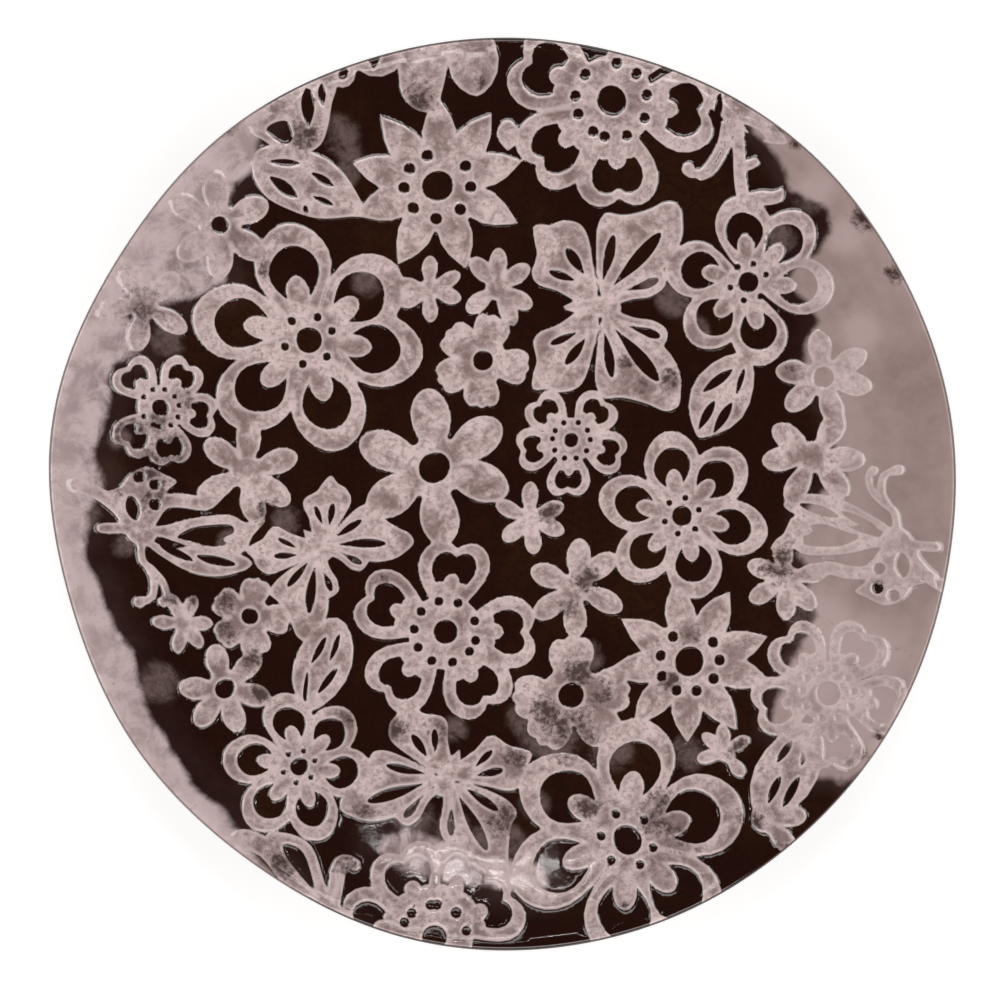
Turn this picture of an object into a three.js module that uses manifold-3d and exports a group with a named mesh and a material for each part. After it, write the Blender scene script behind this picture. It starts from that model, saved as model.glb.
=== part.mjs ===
// A round stoneware platter, made from one rolled slab: a flat foot, a broad nearly flat well and a
// rim that turns up gently to a rounded lip. A lace mat of flowers, butterflies and leaves was
// pressed into the soft clay, so the flowers lie sunk in the surface and the clay between them
// stands proud. Millimetres, +Z up, the foot on z = 0, seen from above with +Y at the top.
import * as THREE from "three";
import { mergeVertices } from "three/addons/utils/BufferGeometryUtils.js";
import Module from "manifold-3d";

// The slab
const PLATTER_RADIUS = 170;
const PLATTER_HEIGHT = 28;
const SLAB_THICKNESS = 7;
const WELL_RADIUS = 100;
const FOOT_RADIUS = 104;
const LIP_RADIUS = 2.4;
const RIM_CURVE = 1.75; // 1 is a straight cone; more keeps the rim low and turns it up at the lip
const ROUND_STEPS = 40;
const RIM_STEPS = 2;
const LIP_STEPS = 3;
const LIP_START = -50; // where the rounding starts on the outside, in degrees above level

// The hand-cut edge: how far it wanders from a true circle, in waves round the rim
const EDGE_WAVES = [
  { waves: 2, depth: 0.87, turn: -75.6 },
  { waves: 3, depth: 1.06, turn: 41.5 },
  { waves: 4, depth: 0.3, turn: -2.3 },
  { waves: 5, depth: 0.29, turn: -32.7 },
  { waves: 6, depth: 0.2, turn: -8.1 },
  { waves: 7, depth: 0.35, turn: 13.8 },
  { waves: 8, depth: 0.23, turn: -6.8 },
  { waves: 9, depth: 0.33, turn: 11.5 },
];

// The pressed lace
const PRESS_DEPTH = 0.9;
const PRESS_TO_LIP = 1.2; // clay left unpressed between the lace and the crown of the lip
const MAT_RADIUS = 170; // the lace mat's own radius, on which the places below are measured
const BUTTON_SIDES = 7;
const SEED_SIDES = 5;

const GLAZE = { color: 0x35201a, roughness: 0.2, metalness: 0 };

const degrees = THREE.MathUtils.degToRad;
const matScale = PLATTER_RADIUS / MAT_RADIUS;

// The slab's section

const crownRadius = PLATTER_RADIUS - LIP_RADIUS;

// The top climbs from the well's edge to the crown of the lip
function topHeight(radius) {
  const climb = Math.max(0, radius - WELL_RADIUS) / (crownRadius - WELL_RADIUS);
  return SLAB_THICKNESS + (PLATTER_HEIGHT - SLAB_THICKNESS) * climb ** RIM_CURVE;
}

function rimRadii(outermost) {
  const radii = [];
  for (let i = 0; i <= RIM_STEPS; i++)
    radii.push(WELL_RADIUS + ((outermost - WELL_RADIUS) * i) / RIM_STEPS);
  return radii;
}

function slabSection() {
  const points = [new THREE.Vector2(0, 0), new THREE.Vector2(FOOT_RADIUS, 0)];
  const spread = (crownRadius - FOOT_RADIUS) / (crownRadius - WELL_RADIUS);
  for (const radius of rimRadii(crownRadius).slice(1, -1)) {
    const outside = FOOT_RADIUS + (radius - WELL_RADIUS) * spread;
    points.push(new THREE.Vector2(outside, topHeight(radius) - SLAB_THICKNESS));
  }
  for (let i = 0; i <= LIP_STEPS; i++) {
    const angle = degrees(LIP_START + ((90 - LIP_START) * i) / LIP_STEPS);
    points.push(new THREE.Vector2(
      crownRadius + LIP_RADIUS * Math.cos(angle),
      PLATTER_HEIGHT - LIP_RADIUS + LIP_RADIUS * Math.sin(angle),
    ));
  }
  for (const radius of rimRadii(crownRadius).slice(0, -1).reverse())
    points.push(new THREE.Vector2(radius, topHeight(radius)));
  points.push(new THREE.Vector2(0, SLAB_THICKNESS));
  return points;
}

// The layer of clay that the lace can press into, from just above the surface down to its depth
function pressedSection() {
  const radii = rimRadii(crownRadius - PRESS_TO_LIP);
  const floor = radii.map((r) => new THREE.Vector2(r, topHeight(r) - PRESS_DEPTH));
  const above = radii.map((r) => new THREE.Vector2(r, topHeight(r) + PRESS_DEPTH)).reverse();
  return [
    new THREE.Vector2(0, SLAB_THICKNESS - PRESS_DEPTH),
    ...floor,
    ...above,
    new THREE.Vector2(0, SLAB_THICKNESS + PRESS_DEPTH),
  ];
}

function edgeWander(angle) {
  return EDGE_WAVES.reduce(
    (sum, w) => sum + w.depth * Math.cos(w.waves * (angle - degrees(w.turn))),
    0,
  );
}

// A section turned about the vertical axis, its outer parts let out to the hand-cut edge
function turned(section) {
  const geometry = new THREE.LatheGeometry(section, ROUND_STEPS);
  geometry.rotateX(Math.PI / 2);
  const position = geometry.getAttribute("position");
  for (let i = 0; i < position.count; i++) {
    const x = position.getX(i);
    const y = position.getY(i);
    const radius = Math.hypot(x, y);
    const reach = Math.max(0, radius - FOOT_RADIUS) / (PLATTER_RADIUS - FOOT_RADIUS);
    const out = radius ? 1 + (reach * edgeWander(Math.atan2(y, x))) / radius : 1;
    position.setXY(i, x * out, y * out);
  }
  return geometry;
}

// Outlines of the lace. A blade is the same shape on both sides of its middle line. Each pair in its
// form is a share of its length and a share of its half width, and a last pair on the middle line
// that lies back from the one before it is a notch.
const ROUND_PETAL = [[0.05, 0.4], [0.66, 1], [0.97, 0.5]];
const SMALL_PETAL = [[0, 0.5], [0.72, 1], [1, 0]];
const NOTCHED_PETAL = [[0.05, 0.4], [0.72, 1], [1, 0.58], [0.9, 0]];
const POINTED_PETAL = [[0.05, 0.3], [0.55, 1], [1, 0]];
const ROUND_GAP = [[0, 0], [0.62, 1], [0.97, 0.5]];
const HEART_GAP = [[0, 0], [0.66, 1], [1, 0.4]];
const TONGUE = [[0.1, 0.5], [0.7, 1], [1, 0]];
const SLOT = [[0, 0], [0.6, 1], [1, 0]];
const LEAF = [[0, 0], [0.28, 0.9], [0.66, 0.9], [1, 0]];
const WING = [[0, 0.15], [0.76, 1], [1, 0.62], [0.94, 0]];

function blade(form, from, to, halfWidth) {
  const along = to.clone().sub(from);
  const side = new THREE.Vector2(-along.y, along.x).normalize();
  const at = (length, width) =>
    from.clone().addScaledVector(along, length).addScaledVector(side, width * halfWidth);
  const right = form.map(([length, width]) => at(length, -width));
  const left = form.filter(([, width]) => width).map(([length, width]) => at(length, width));
  return [...right, ...left.reverse()];
}

function polar(radius, turn) {
  return new THREE.Vector2(radius * Math.cos(degrees(turn)), radius * Math.sin(degrees(turn)));
}

// A blade that points away from the motif's centre
function ray(form, inner, outer, turn, halfWidth) {
  return blade(form, polar(inner, turn), polar(outer, turn), halfWidth);
}

function disc(centre, radius, sides) {
  return turns(sides).map((turn) => polar(radius, turn).add(centre));
}

function turns(count) {
  return Array.from({ length: count }, (_, i) => (360 * i) / count);
}

// Motifs. Each gives its layers in order: what is pressed, what stands in it, pressed again and so on.

function loopFlower(size) {
  const spokes = turns(6);
  return [
    spokes.map((turn) => ray(ROUND_PETAL, 0, size, turn, 0.335 * size)),
    spokes.map((turn) => ray(ROUND_GAP, 0.28 * size, 0.81 * size, turn, 0.215 * size)),
    spokes.map((turn) => ray(TONGUE, 0.1 * size, 0.56 * size, turn, 0.11 * size)),
    [disc(polar(0, 0), 0.12 * size, BUTTON_SIDES)],
  ];
}

function heartFlower(size) {
  const spokes = turns(5);
  return [
    spokes.map((turn) => ray(NOTCHED_PETAL, 0, size, turn, 0.4 * size)),
    spokes.map((turn) => ray(HEART_GAP, 0.36 * size, 0.85 * size, turn, 0.24 * size)),
    spokes.map((turn) => ray(TONGUE, 0.1 * size, 0.62 * size, turn, 0.15 * size)),
    [disc(polar(0, 0), 0.14 * size, BUTTON_SIDES)],
  ];
}

function daisy(size) {
  const seeds = turns(8).map((turn) => polar(0.4 * size, turn + 12));
  return [
    turns(9).map((turn) => ray(POINTED_PETAL, 0, size, turn, 0.205 * size)),
    [
      disc(polar(0, 0), 0.175 * size, BUTTON_SIDES),
      ...seeds.map((seed) => disc(seed, 0.075 * size, SEED_SIDES)),
    ],
  ];
}

function buttonFlower(size) {
  return [
    turns(6).map((turn) => ray(ROUND_PETAL, 0, size, turn, 0.25 * size)),
    [disc(polar(0, 0), 0.19 * size, BUTTON_SIDES)],
  ];
}

function smallFlower(size) {
  return [turns(6).map((turn) => ray(SMALL_PETAL, 0, size, turn, 0.26 * size))];
}

function notchedFlower(size) {
  return [
    turns(5).map((turn) => ray(NOTCHED_PETAL, 0, size, turn, 0.4 * size)),
    [disc(polar(0, 0), 0.2 * size, BUTTON_SIDES)],
  ];
}

// A butterfly with its wings spread and its head along +X; its size is its reach to a forewing's tip
function butterfly(size) {
  const both = (shape, inner, outer, turn, halfWidth) =>
    [turn, -turn].map((side) => ray(shape, inner * size, outer * size, side, halfWidth * size));
  return [
    [
      ...both(WING, 0, 1, 49, 0.33),
      ...both(WING, 0, 0.78, 124, 0.28),
      ...both(SLOT, 0, 0.58, 18, 0.04),
    ],
    [
      ...both(SLOT, 0.2, 0.8, 46, 0.07),
      ...both(SLOT, 0.2, 0.66, 74, 0.05),
      ...both(SLOT, 0.2, 0.55, 122, 0.06),
    ],
  ];
}

// A butterfly seen from the side: a long folded wing towards +X and a spotted one towards +Y
function foldedButterfly(size) {
  const wing = (turn, reach, halfWidth) => ray(WING, 0, reach * size, turn, halfWidth * size);
  const slot = (turn, inner, outer, halfWidth) =>
    ray(SLOT, inner * size, outer * size, turn, halfWidth * size);
  return [
    [
      wing(4, 1, 0.22),
      wing(-20, 1, 0.16),
      wing(84, 0.58, 0.27),
      ray(SLOT, 0, 0.66, -70, 0.05 * size),
      ray(SLOT, 0, 0.34, 175, 0.05 * size),
    ],
    [
      slot(4, 0.22, 0.78, 0.09),
      slot(20, 0.16, 0.5, 0.06),
      slot(-20, 0.4, 0.8, 0.05),
      disc(polar(0.44 * size, 104), 0.09 * size, SEED_SIDES),
      disc(polar(0.22 * size, 84), 0.055 * size, SEED_SIDES),
      disc(polar(0.42 * size, 78), 0.05 * size, SEED_SIDES),
    ],
  ];
}

// A leaf with its stalk at the centre and its tip along +X
function leaf(size) {
  const slot = (x, y, turn, length, halfWidth) => {
    const foot = new THREE.Vector2(x * size, y * size);
    return blade(SLOT, foot, polar(length * size, turn).add(foot), halfWidth * size);
  };
  return [
    [ray(LEAF, 0, size, 0, 0.3 * size)],
    [
      slot(0.12, 0.07, 10, 0.34, 0.05),
      slot(0.16, -0.06, -12, 0.36, 0.05),
      slot(0.42, 0.16, -12, 0.38, 0.05),
      slot(0.55, -0.14, 12, 0.28, 0.04),
    ],
  ];
}

function singlePetal(size) {
  return [[ray(SMALL_PETAL, 0, size, 0, 0.34 * size)]];
}

// A stem that ends in a small curl
function stem(size) {
  return [
    [
      ray(SLOT, 0, size, 0, 0.1 * size),
      blade(SLOT, polar(0.75 * size, 0), polar(1.15 * size, 25), 0.1 * size),
    ],
  ];
}

// Where each motif lies on the mat: x, y, size, and its turn in degrees
const LACE = [
  [loopFlower, -75.5, 57.5, 44, 45],
  [loopFlower, 92, 80.5, 32, 47],
  [loopFlower, 67, -9, 32, 46],
  [loopFlower, -78, -104, 30, 48],
  [loopFlower, 45.5, -131, 45, 22],
  [heartFlower, -23.5, -53, 35, 8],
  [heartFlower, 25, 19.5, 22, 54],
  [heartFlower, -130, 31.5, 22, 54],
  [heartFlower, 39.5, 147.5, 40, 62],
  [heartFlower, 122, -75, 31, 54],
  [heartFlower, -27, -167, 36, 28],
  [daisy, -25.5, 115.5, 34, 12],
  [daisy, 70, -65, 31, 20],
  [buttonFlower, -27, 9.5, 30, 34],
  [buttonFlower, -107.5, 100.5, 20, 34],
  [buttonFlower, 120.5, 43.5, 19.5, 40],
  [buttonFlower, -105, -73.5, 18, 54],
  [notchedFlower, -9, 49.5, 19.5, 62],
  [notchedFlower, -97, -48, 16, 65],
  [notchedFlower, 25.5, -77.5, 25, 18],
  [smallFlower, -29, 77, 12.5, 30],
  [smallFlower, -2, 77, 14, 32],
  [smallFlower, 9, -9, 14.5, 32],
  [smallFlower, 27, -36, 19, 33],
  [smallFlower, -98, 5, 18.5, 33],
  [smallFlower, 114, 13, 20, 0],
  [smallFlower, 105, -33, 16, 30],
  [smallFlower, -121, -47, 12.5, 0],
  [smallFlower, 84, -98, 12, 20],
  [smallFlower, 100, -125, 13, 20],
  [smallFlower, -137, 70, 18, 32],
  [smallFlower, -84, 150, 24, 20],
  [butterfly, 35, 70, 48, 0],
  [butterfly, -70, -20, 34, -47],
  [butterfly, -22, -107, 40, -109],
  [foldedButterfly, -137, -14, 44, 0],
  [foldedButterfly, 147, -19, 44, 160],
  [leaf, 76, 17, 40, 64],
  [leaf, -72, -84, 39, 76],
  [leaf, 99, -124, 38, 68],
  [leaf, -100, 124, 46, -22],
  [leaf, -68, -152, 30, 122],
  [singlePetal, -11, 171, 22, -83],
  [singlePetal, -33, 171, 24, -92],
  [singlePetal, -62, 157, 22, 6],
  [singlePetal, 0, 129, 12, 95],
  [stem, -64, -152, 20, 80],
  [stem, -74, 149, 20, 26],
  [stem, 84, 140, 20, -128],
  [stem, 86, 142, 33, -74],
];

// Solids

const wasm = await Module();
wasm.setup();

function solidOf(geometry) {
  const bare = geometry.clone();
  bare.deleteAttribute("normal");
  bare.deleteAttribute("uv");
  const merged = mergeVertices(bare, 1e-4);
  return new wasm.Manifold(
    new wasm.Mesh({
      numProp: 3,
      vertProperties: merged.getAttribute("position").array,
      triVerts: new Uint32Array(merged.index.array),
    }),
  );
}

function geometryOf(solid) {
  const mesh = solid.getMesh();
  const corners = new Float32Array(mesh.numVert * 3);
  for (let i = 0; i < mesh.numVert; i++)
    corners.set(mesh.vertProperties.subarray(i * mesh.numProp, i * mesh.numProp + 3), i * 3);
  const geometry = new THREE.BufferGeometry()
    .setAttribute("position", new THREE.BufferAttribute(corners, 3))
    .setIndex(new THREE.BufferAttribute(new Uint32Array(mesh.triVerts), 1));
  geometry.computeVertexNormals();
  return geometry;
}

// An outline stood up as a prism that passes right through the slab
function stamp(ring) {
  const shape = new THREE.Shape(ring);
  const prism = new THREE.ExtrudeGeometry(shape, { depth: 2 * PLATTER_HEIGHT, bevelEnabled: false });
  return solidOf(prism.translate(0, 0, -PLATTER_HEIGHT / 2));
}

function joined(solids) {
  return solids.reduce((all, next) => all.add(next));
}

// One motif's pressed shape at its place on the platter
function pressedMotif([motif, x, y, size, turn]) {
  const centre = new THREE.Vector2(x, y);
  const place = (ring) => ring.map((point) =>
    point.clone().add(centre).rotateAround(centre, degrees(turn)).multiplyScalar(matScale));
  return motif(size).reduce((made, layer, i) => {
    const shapes = joined(layer.map((ring) => stamp(place(ring))));
    if (!made) return shapes;
    return i % 2 ? made.subtract(shapes) : made.add(shapes);
  }, null);
}

function platter() {
  const slab = solidOf(turned(slabSection()));
  const pressable = solidOf(turned(pressedSection()));
  const lace = joined(LACE.map(pressedMotif));
  const geometry = geometryOf(slab.subtract(lace.intersect(pressable)));
  const mesh = new THREE.Mesh(geometry, new THREE.MeshStandardMaterial(GLAZE));
  mesh.name = "platter";
  geometry.computeBoundingBox();
  const middle = geometry.boundingBox.getCenter(new THREE.Vector3());
  mesh.position.set(-middle.x, -middle.y, 0); // the hand-cut edge is centred by its own width
  return mesh;
}

const group = new THREE.Group();
group.add(platter());

export default group;
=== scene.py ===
import math

import bmesh
import bpy
import numpy as np
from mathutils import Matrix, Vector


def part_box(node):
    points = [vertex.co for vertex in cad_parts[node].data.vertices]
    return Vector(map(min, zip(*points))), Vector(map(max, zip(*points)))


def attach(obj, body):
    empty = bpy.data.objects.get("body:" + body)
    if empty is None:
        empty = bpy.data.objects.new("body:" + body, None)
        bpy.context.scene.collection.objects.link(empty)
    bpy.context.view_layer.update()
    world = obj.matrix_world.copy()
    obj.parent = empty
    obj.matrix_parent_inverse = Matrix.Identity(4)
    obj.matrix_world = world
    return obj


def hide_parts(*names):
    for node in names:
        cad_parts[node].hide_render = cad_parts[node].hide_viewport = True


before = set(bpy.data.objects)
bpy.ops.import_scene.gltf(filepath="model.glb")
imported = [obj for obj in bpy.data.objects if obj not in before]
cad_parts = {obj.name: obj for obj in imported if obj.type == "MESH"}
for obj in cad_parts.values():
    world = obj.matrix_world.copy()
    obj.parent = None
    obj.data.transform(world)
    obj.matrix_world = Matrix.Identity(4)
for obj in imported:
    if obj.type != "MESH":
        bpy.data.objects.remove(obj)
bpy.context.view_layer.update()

bl_info = {
    "name": "Lace-pressed platter",
    "version": (1, 0, 0),
    "blender": (4, 5, 0),
    "location": "View3D > Sidebar > Platter",
    "description": "A round stoneware platter with a lace pattern pressed into its glazed top",
    "category": "Object",
}

MM = 0.001

# The slab, in millimetres, as the solid has it
PLATTER_RADIUS = 170.0
PLATTER_HEIGHT = 28.0
SLAB_THICKNESS = 7.0
WELL_RADIUS = 100.0
FOOT_RADIUS = 104.0
LIP_RADIUS = 2.4
CROWN_RADIUS = PLATTER_RADIUS - LIP_RADIUS
RIM_CURVE = 1.75
EDGE_WAVES = (
    (2, 0.87, -75.6), (3, 1.06, 41.5), (4, 0.3, -2.3), (5, 0.29, -32.7),
    (6, 0.2, -8.1), (7, 0.35, 13.8), (8, 0.23, -6.8), (9, 0.33, 11.5),
)

# The pressed lace, in millimetres
LACE_DEPTH = 0.9
WALL_WIDTH = 0.84
LACE_FADE = 1.6  # it runs out over this width inside the lip
EDGE_ROUNDING = 0.16  # how much the glaze creeps up a wall's foot and wears off its top

# Poured glaze: the share of the hollows that it fills, and how far inside its edge that is reached
FILLED_SHARE = 0.45
FILLED_FROM = 10.0
UNPOURED = -12.0  # stands for a place well outside it

# How fine the surface is made: away from the lace, and along its edges
COARSE_EDGE = 3.0
REFINE_STEPS = ((2.5, 2.2), (0.9, 1.2))  # (reach from a lace edge, edge length that is cut)
FAR = 6.0  # beyond this distance from the lace nothing depends on it
SNAP_REACH = 0.85  # points this near a lace edge are drawn to its wall
SNAP_OFFSET = 0.36  # and come to lie this far from it

# Left between the smooth edge and the solid's box
BOX_SHARE = 0.9995


def wander(angle):
    """How far the hand-cut edge lies outside a true circle, in the direction of angle."""
    return sum(depth * np.cos(waves * (angle - math.radians(turn))) for waves, depth, turn in EDGE_WAVES)


def reach(radius):
    return np.maximum(0, radius - FOOT_RADIUS) / (PLATTER_RADIUS - FOOT_RADIUS)


def top_height(radius):
    climb = np.maximum(0, radius - WELL_RADIUS) / (CROWN_RADIUS - WELL_RADIUS)
    return SLAB_THICKNESS + (PLATTER_HEIGHT - SLAB_THICKNESS) * climb**RIM_CURVE


def round_radius(radius, angle):
    """The radius that a point would have if the edge were a true circle."""
    slope = wander(angle) / (PLATTER_RADIUS - FOOT_RADIUS)
    return np.where(radius > FOOT_RADIUS, (radius + FOOT_RADIUS * slope) / (1 + slope), radius)


def middle_of_edge():
    angle = np.radians(np.arange(0, 360, 0.5))
    radius = PLATTER_RADIUS + wander(angle)
    x, y = radius * np.cos(angle), radius * np.sin(angle)
    return np.array([(x.max() + x.min()) / 2, (y.max() + y.min()) / 2])


MIDDLE = middle_of_edge()


# Outlines of the lace, in millimetres, each a closed ring of points about its motif's centre.


def polar(radius, turn):
    return np.array([radius * math.cos(math.radians(turn)), radius * math.sin(math.radians(turn))])


def turn_matrix(turn):
    c, n = math.cos(math.radians(turn)), math.sin(math.radians(turn))
    return np.array([[c, n], [-n, c]])


def blade(start, end, half_width, widest=0.62, foot=0.75, tip=0.5, steps=9):
    """A petal, slot or lobe: a smaller foot or tip value makes that end rounder, a larger one sharper."""
    start, end = np.asarray(start, float), np.asarray(end, float)
    along = end - start
    side = np.array([-along[1], along[0]]) / np.hypot(*along)
    share = (1 - np.cos(np.pi * np.arange(steps + 1) / steps)) / 2
    swell = np.sin(np.pi * share ** (math.log(0.5) / math.log(widest)))
    width = half_width * np.maximum(0, swell) ** (foot + (tip - foot) * share)
    spine = start + share[:, None] * along
    right = spine - width[:, None] * side
    left = spine + width[:, None] * side
    return np.vstack([right[:-1], left[:0:-1]])


def ray(inner, outer, turn, half_width, **form):
    return blade(polar(inner, turn), polar(outer, turn), half_width, **form)


def disc(centre, radius, sides=14):
    return np.array([polar(radius, 360 * i / sides) for i in range(sides)]) + centre


def smooth_ring(points, steps=4):
    """A closed curve through a few points."""
    p = np.asarray(points, float)
    before, after, beyond = np.roll(p, 1, 0), np.roll(p, -1, 0), np.roll(p, -2, 0)
    ring = []
    for i in range(steps):
        t = i / steps
        ring.append(
            0.5
            * (
                2 * p
                + (after - before) * t
                + (2 * before - 5 * p + 4 * after - beyond) * t**2
                + (3 * p - before - 3 * after + beyond) * t**3
            )
        )
    return np.stack(ring, 1).reshape(-1, 2)


def band(points, half_width):
    """A strip of even width along a path, with round ends."""
    points = np.asarray(points, float)
    along = np.gradient(points, axis=0)
    along /= np.linalg.norm(along, axis=1)[:, None]
    side = np.column_stack([-along[:, 1], along[:, 0]]) * half_width
    first, last = points[0] - along[0] * half_width, points[-1] + along[-1] * half_width
    return [smooth_ring(np.vstack([first, points + side, last, (points - side)[::-1]]), 3)]


# Motifs. Each gives its layers in order: what is pressed, what stands in it, pressed again, and so on.


def loop_flower(size, spokes, button):
    return [
        [ray(0, size, a, 0.325 * size, widest=0.64, foot=0.8, steps=14) for a in spokes],
        [ray(0.25 * size, 0.81 * size, a, 0.218 * size, widest=0.6, foot=0.85, steps=12) for a in spokes],
        [disc((0, 0), 0.2 * size)]
        + [ray(0.08 * size, 0.56 * size, a, 0.1 * size, widest=0.68, foot=0.5) for a in spokes],
        [disc((0, 0), button, 16)] + [disc(polar(0.215 * size, a + 30), 0.038 * size, 8) for a in spokes],
    ]


def heart_flower(size, spokes, button):
    lobes = [(a, s) for a in spokes for s in (-1, 1)]
    slim = {"foot": 0.4, "tip": 0.45}
    return [
        [ray(0, size, a + 12 * s, 0.235 * size, widest=0.72, foot=0.7, steps=12) for a, s in lobes],
        [ray(0.36 * size, 0.87 * size, a + 8 * s, 0.145 * size, widest=0.66, foot=0.8) for a, s in lobes],
        [disc((0, 0), 0.4 * size, 20)]
        + [ray(0.2 * size, 0.63 * size, a, 0.088 * size, widest=0.74, **slim) for a in spokes]
        + [ray(0.2 * size, 0.55 * size, a + 14 * s, 0.072 * size, widest=0.76, **slim) for a, s in lobes],
        [disc((0, 0), button, 16)]
        + [disc(polar(0.335 * size, a + 18 * s), 0.052 * size, 8) for a, s in lobes],
    ]


def daisy(size, spokes, button):
    seeds = [(a + b) / 2 if b > a else (a + b + 360) / 2 for a, b in zip(spokes, spokes[1:] + spokes[:1])]
    return [
        [disc((0, 0), 0.5 * size, 20)]
        + [ray(0.1 * size, size, a, 0.19 * size, widest=0.52, foot=0.6, tip=1.15) for a in spokes],
        [disc((0, 0), button, 16)] + [disc(polar(0.37 * size, a), 0.068 * size, 9) for a in seeds[:8]],
    ]


def button_flower(size, spokes, button):
    return [
        [disc((0, 0), 0.38 * size, 18)]
        + [ray(0.1 * size, size, a, 0.245 * size, widest=0.6, foot=0.6, steps=12) for a in spokes],
        [disc((0, 0), button, 16)],
    ]


def small_flower(size, spokes):
    petals = [ray(0.05 * size, size, a, 0.235 * size, foot=0.6) for a in spokes]
    return [[disc((0, 0), 0.3 * size)] + petals]


def notched_flower(size, spokes, button):
    return [
        [disc((0, 0), 0.52 * size, 18)]
        + [
            ray(0.1 * size, size, a + s, 0.21 * size, widest=0.66, foot=0.6)
            for a in spokes
            for s in (-14, 14)
        ]
        + [ray(0.1 * size, 1.02 * size, a, 0.17 * size, widest=0.66, foot=0.6) for a in spokes],
        [disc((0, 0), button, 16)],
    ]


FOREWING = (
    (2, 2), (8, 6), (14, 9), (24, 15), (30, 24), (31, 32), (30, 38), (25, 39.5), (19, 37), (12, 35),
    (7, 34.5), (2, 35), (-1, 31), (-2, 24), (-1, 12),
)
HINDWING = (
    (-1, 4), (-3, 16), (-5, 26), (-8, 31), (-14, 32.5), (-19, 31), (-25, 31), (-25, 25), (-24, 20),
    (-25.5, 13), (-23, 9), (-16, 6.5), (-8, 2),
)
FEELER = ((3, 2), (12, 5), (19, 6), (23.5, 9), (23, 12.5), (19.5, 13.5))
BUTTERFLY_SIZE = 47  # the size at which its outlines are given


def butterfly(size, head, front=1.0):
    """Wings spread, seen from above; front widens the forewings."""
    s = size / BUTTERFLY_SIZE
    turned = turn_matrix(head)

    def placed(points, flip):
        return np.asarray(points, float) * s * (1, flip) @ turned

    def slot(x0, y0, x1, y1, width, flip):
        a, b = placed([(x0, y0), (x1, y1)], flip)
        return blade(a, b, width * s / 2, widest=0.62, foot=0.9, tip=0.5)

    pressed, standing = [blade(*placed([(-14, 0), (8, 0)], 1), 3.6 * s, foot=0.5)], []
    for flip in (1, -1):
        pressed.append(smooth_ring(placed(np.asarray(FOREWING) * front, flip), 3))
        pressed.append(smooth_ring(placed(HINDWING, flip), 3))
        pressed += band(placed(FEELER, flip), 1.6 * s)
        standing += [
            slot(4.5, 7.5, 22.5, 28, 5.4, flip),
            slot(1, 9, 4.5, 27, 3.9, flip),
            slot(-5.5, 11.5, -13, 22, 3.8, flip),
            slot(-8.5, 9.5, -19, 13.8, 3, flip),
        ]
    return [pressed, standing]


def at(motif, x, y, *values):
    """A motif's layers at their place on the platter."""
    return [[ring + (x, y) for ring in layer] for layer in motif(*values)]


def drawn(pressed, standing=()):
    """Layers given straight in the platter's own millimetres."""
    return [list(pressed), list(standing)]


def slots(*rows):
    return [blade(row[0:2], row[2:4], row[4] / 2, widest=0.55, foot=0.7, tip=0.7) for row in rows]


FOLDED_WINGS = (
    ((1, 0), (9, 2.5), (17, 5), (27, 6.5), (34, 6), (39, 3), (46, 4), (41, -2), (36, -9), (20, -6)),
    ((0, -3), (9, -6), (20, -6), (36, -9), (41, -13), (36, -16), (27, -17), (17, -15), (9, -11), (3, -7)),
    ((-6, 2), (-9, 10), (-12, 15), (-8, 17), (-4, 22), (2, 24), (9, 21), (13, 19), (9, 15), (7, 9), (3, 2)),
)
FOLDED_WINDOW = (
    (12.5, -2), (19, 2), (27, 3), (33, 2.5), (34, -0.5), (30, -2.5), (31, -5), (25, -5.5), (18, -3.5),
)


def folded_butterfly(cx, cy, turn):
    """A butterfly from the side: two long wings one way, a spotted one above, feelers below."""
    turned = turn_matrix(turn)

    def p(*pairs):
        return (np.asarray(pairs, float) @ turned) + (cx, cy)

    def gap(x0, y0, x1, y1, width):
        a, b = p((x0, y0), (x1, y1))
        return blade(a, b, width / 2, widest=0.5, foot=0.6, tip=0.6)

    def ball(x, y, radius):
        return disc(p((x, y))[0], radius, 10)

    pressed = [
        *[smooth_ring(p(*outline), 3) for outline in FOLDED_WINGS],
        *band(p((2, 4), (8, 11), (16, 12), (24, 11), (28, 14)), 2.6),
        *band(p((-5, 3), (-9, 9), (-16, 15), (-24, 18)), 2.4),
        *band(p((-1, -4), (-0.5, -11), (3, -15), (4.5, -20), (4, -25), (0.5, -27)), 1.4),
        *band(p((3, -15), (7.5, -19), (9.5, -24.5), (8, -27)), 1.3),
        *band(p((-15, 1.6), (-8, 1.2), (1, -1)), 1.9),
        blade(*p((-6, -1), (5, -1)), 4.5, widest=0.5, foot=0.4),
        ball(-1, -27.2, 2.1),
        ball(8, -27, 1.7),
    ]
    standing = [
        smooth_ring(p(*FOLDED_WINDOW), 3),
        gap(6, -5.5, 19, -11, 3),
        gap(20, -9, 35, -13, 3.6),
        gap(-2.5, 4, -4.5, 13.5, 5),
        ball(4.7, 10.1, 2.3),
        ball(-1.2, 20.3, 2.2),
        ball(4.6, 17.6, 2.1),
    ]
    return drawn(pressed, standing)


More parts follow.
